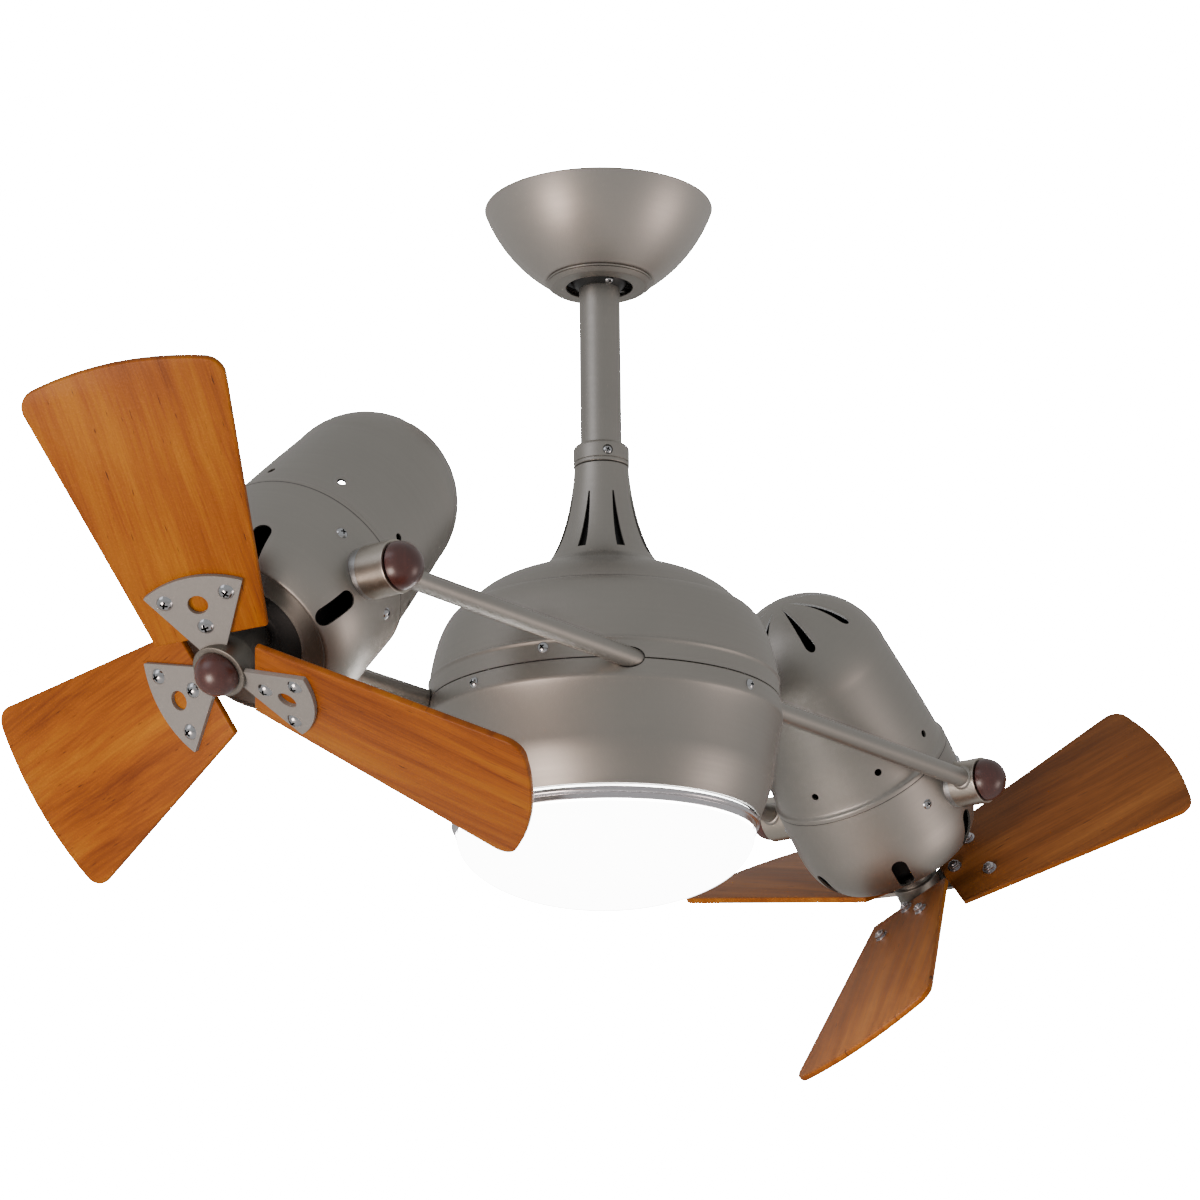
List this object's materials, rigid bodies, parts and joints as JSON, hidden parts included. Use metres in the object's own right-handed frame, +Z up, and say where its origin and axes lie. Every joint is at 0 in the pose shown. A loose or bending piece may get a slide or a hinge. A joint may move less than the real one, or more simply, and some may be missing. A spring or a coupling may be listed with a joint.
{
  "type": "twin head ceiling fan",
  "caption": "Ceiling fan with a turning carrier that holds two tilting motor heads with three-blade rotors, on a downrod under a bowl canopy, with an opal glass light.",
  "frame": {"origin": "on the ceiling plane, where the fan's upright axis meets it", "axes": "+Z up into the ceiling, +X from the left head to the right head, +Y away from the near arms"},
  "size_m": [0.9879, 0.3749, 0.5448],
  "materials": {
    "satin_nickel": "satin brushed nickel",
    "zinc_steel": "zinc plated",
    "black_rubber": "matt",
    "black_plastic": "moulded nylon",
    "bright_steel": "polished",
    "brass_ring": "turned",
    "cast_alloy": "die cast",
    "polished_ring": "polished nickel",
    "opal_glass": "opal white, satin",
    "frosted_glass": "frosted",
    "white_ceramic": "glazed ceramic",
    "dark_wood": "turned wood, dark red stain, satin lacquer",
    "black_motor": "black enamel",
    "hub_grey": "satin",
    "iron_grey": "satin nickel paint",
    "blade_wood": "orange brown wood grain, satin lacquer"
  },
  "bodies": {
    "ceiling_mount": {"hanger_bracket": "zinc_steel", "canopy": "satin_nickel", "canopy_gasket": "black_rubber", "canopy_trim_ring": "satin_nickel", "canopy_screws": "bright_steel"},
    "downrod": {"hanger_ball": "black_plastic", "ball_pin": "zinc_steel", "ground_screw": "bright_steel", "downrod": "satin_nickel", "rod_coupling": "satin_nickel", "coupling_screws": "bright_steel", "spindle": "zinc_steel", "slip_ring": "brass_ring"},
    "carrier": {"neck_cap": "satin_nickel", "upper_housing": "satin_nickel", "lower_housing": "satin_nickel", "housing_screws": "bright_steel", "centre_frame": "cast_alloy", "upper_bearing": "zinc_steel", "lower_bearing": "zinc_steel", "brush_block": "black_plastic", "lamp_pan": "zinc_steel", "lampholder": "white_ceramic", "lamp": "frosted_glass", "glass_ring": "polished_ring", "glass_bowl": "opal_glass", "left_near_arm": "satin_nickel", "left_far_arm": "satin_nickel", "right_near_arm": "satin_nickel", "right_far_arm": "satin_nickel", "left_near_cap": "dark_wood", "left_far_cap": "dark_wood", "right_near_cap": "dark_wood", "right_far_cap": "dark_wood"},
    "left_head": {"left_front_shell": "satin_nickel", "left_rear_shell": "satin_nickel", "left_shell_screws": "bright_steel", "left_stator": "black_motor", "left_pivot_studs": "bright_steel"},
    "right_head": {"right_front_shell": "satin_nickel", "right_rear_shell": "satin_nickel", "right_shell_screws": "bright_steel", "right_stator": "black_motor", "right_pivot_studs": "bright_steel"},
    "left_rotor": {"left_motor_rotor": "black_motor", "left_hub": "hub_grey", "left_blade_irons": "iron_grey", "left_blade_screws": "bright_steel", "left_hub_button": "dark_wood", "left_blade_1": "blade_wood", "left_blade_2": "blade_wood", "left_blade_3": "blade_wood"},
    "right_rotor": {"right_motor_rotor": "black_motor", "right_hub": "hub_grey", "right_blade_irons": "iron_grey", "right_blade_screws": "bright_steel", "right_hub_button": "dark_wood", "right_blade_1": "blade_wood", "right_blade_2": "blade_wood", "right_blade_3": "blade_wood"}
  },
  "joints": [
    {"name": "ball_swing", "type": "hinge", "parent": "ceiling_mount", "child": "downrod", "pos_m": [0, 0, -0.039], "axis": [1, 0, 0], "range_deg": [-8, 8]},
    {"name": "carrier_spin", "type": "hinge", "parent": "downrod", "child": "carrier", "pos_m": [0, 0, -0.3388], "axis": [0, 0, 1], "continuous": true},
    {"name": "left_tilt", "type": "hinge", "parent": "carrier", "child": "left_head", "pos_m": [-0.3145, 0, -0.3388], "axis": [0, 1, 0], "range_deg": [-44.2, 135.8]},
    {"name": "right_tilt", "type": "hinge", "parent": "carrier", "child": "right_head", "pos_m": [0.3145, 0, -0.3388], "axis": [0, -1, 0], "range_deg": [-45, 135]},
    {"name": "left_spin", "type": "hinge", "parent": "left_head", "child": "left_rotor", "pos_m": [-0.31292, 0, -0.34033], "axis": [-0.6972, 0, -0.7169], "continuous": true},
    {"name": "right_spin", "type": "hinge", "parent": "right_head", "child": "right_rotor", "pos_m": [0.31294, 0, -0.34036], "axis": [0.7071, 0, -0.7071], "continuous": true}
  ]
}
